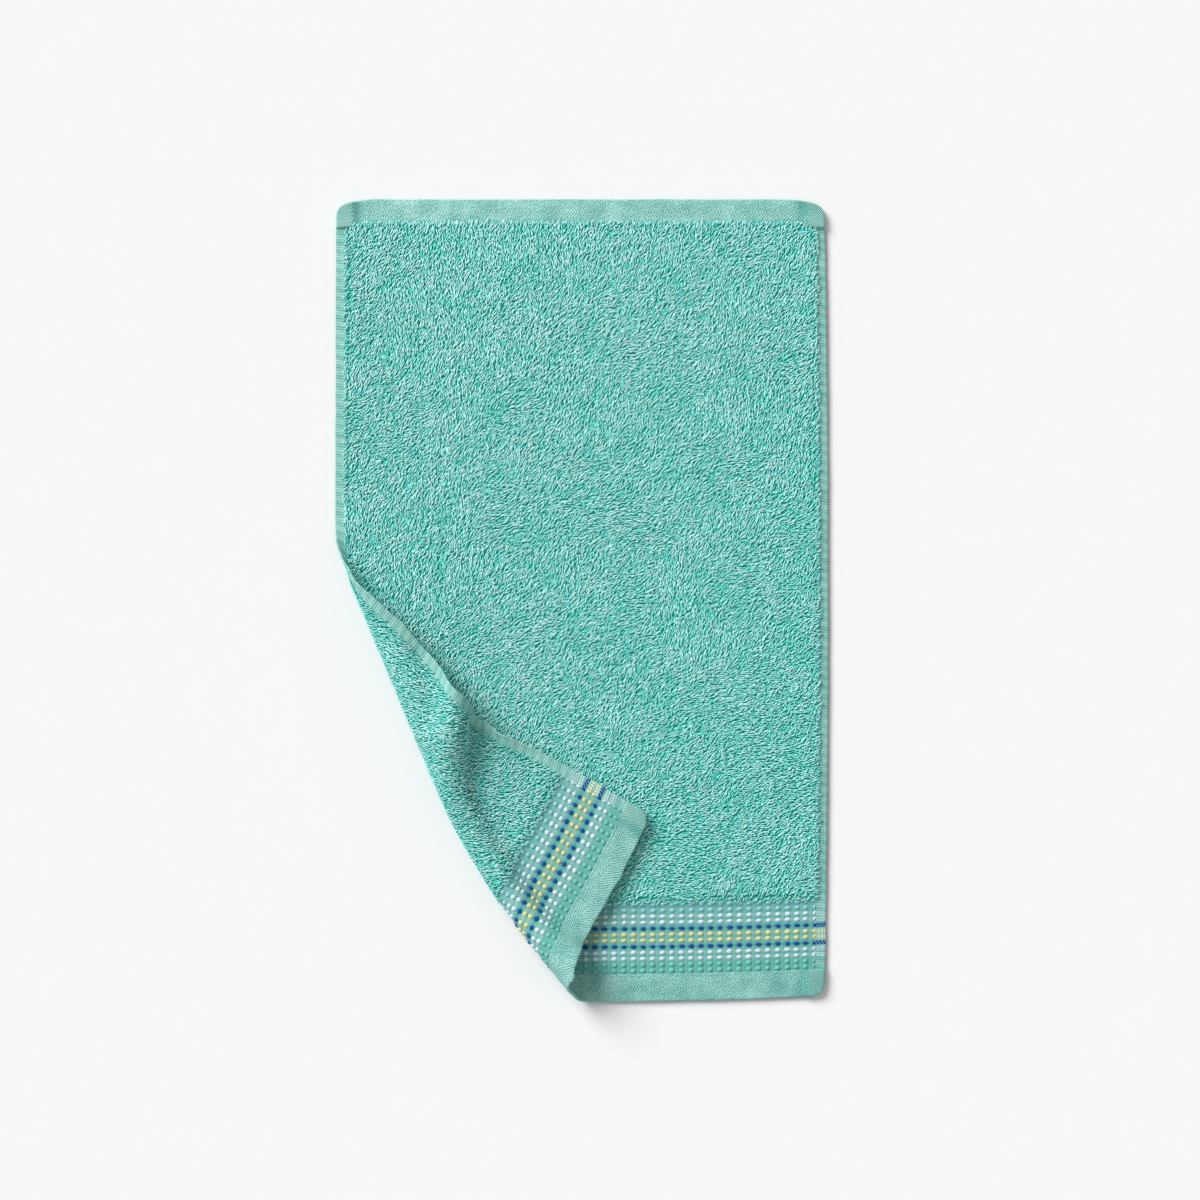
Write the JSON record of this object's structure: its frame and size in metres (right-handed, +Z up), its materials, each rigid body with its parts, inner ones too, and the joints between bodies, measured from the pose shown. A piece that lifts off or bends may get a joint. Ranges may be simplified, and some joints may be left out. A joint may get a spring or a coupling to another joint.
{
  "type": "guest towel",
  "caption": "Terry guest towel lying flat with a lower corner turned up and over, a plain hem at the top and a dotted woven border above the lower hem.",
  "frame": {"origin": "centre of the bounding box on the table plane the towel lies on", "axes": "+Z up from the table, +Y along the towel's length towards the plain hem, +X across the towel to the side whose corner is not turned"},
  "size_m": [0.3078, 0.5012, 0.0333],
  "materials": {
    "terry_pile": "cotton terry loops, matt",
    "ground_weave": "plain cotton ground weave, matt",
    "border_weave": "flat woven cotton, matt",
    "hem_twill": "cotton twill, matt",
    "selvedge_rib": "ribbed cotton, matt",
    "sewing_thread": "sewing thread",
    "light_blue_yarn": "pale blue cotton yarn",
    "white_yarn": "cool white cotton yarn",
    "royal_blue_yarn": "royal blue cotton yarn",
    "yellow_yarn": "pale yellow cotton yarn",
    "aqua_yarn": "aqua green cotton yarn"
  },
  "bodies": {
    "root": {"ground_cloth": "ground_weave", "face_pile": "terry_pile", "back_pile": "terry_pile", "border_ground": "border_weave", "aqua_row_1": "aqua_yarn", "aqua_row_2": "aqua_yarn", "white_row_1": "white_yarn", "white_row_2": "white_yarn", "royal_blue_row_1": "royal_blue_yarn", "yellow_row_1": "yellow_yarn", "yellow_row_2": "yellow_yarn", "royal_blue_row_2": "royal_blue_yarn", "white_row_3": "white_yarn", "white_row_4": "white_yarn", "light_blue_row_1": "light_blue_yarn", "light_blue_row_2": "light_blue_yarn", "bottom_hem": "hem_twill", "top_hem": "hem_twill", "left_selvedge": "selvedge_rib", "right_selvedge": "selvedge_rib", "bottom_hem_stitching": "sewing_thread", "top_hem_stitching": "sewing_thread"}
  },
  "joints": []
}
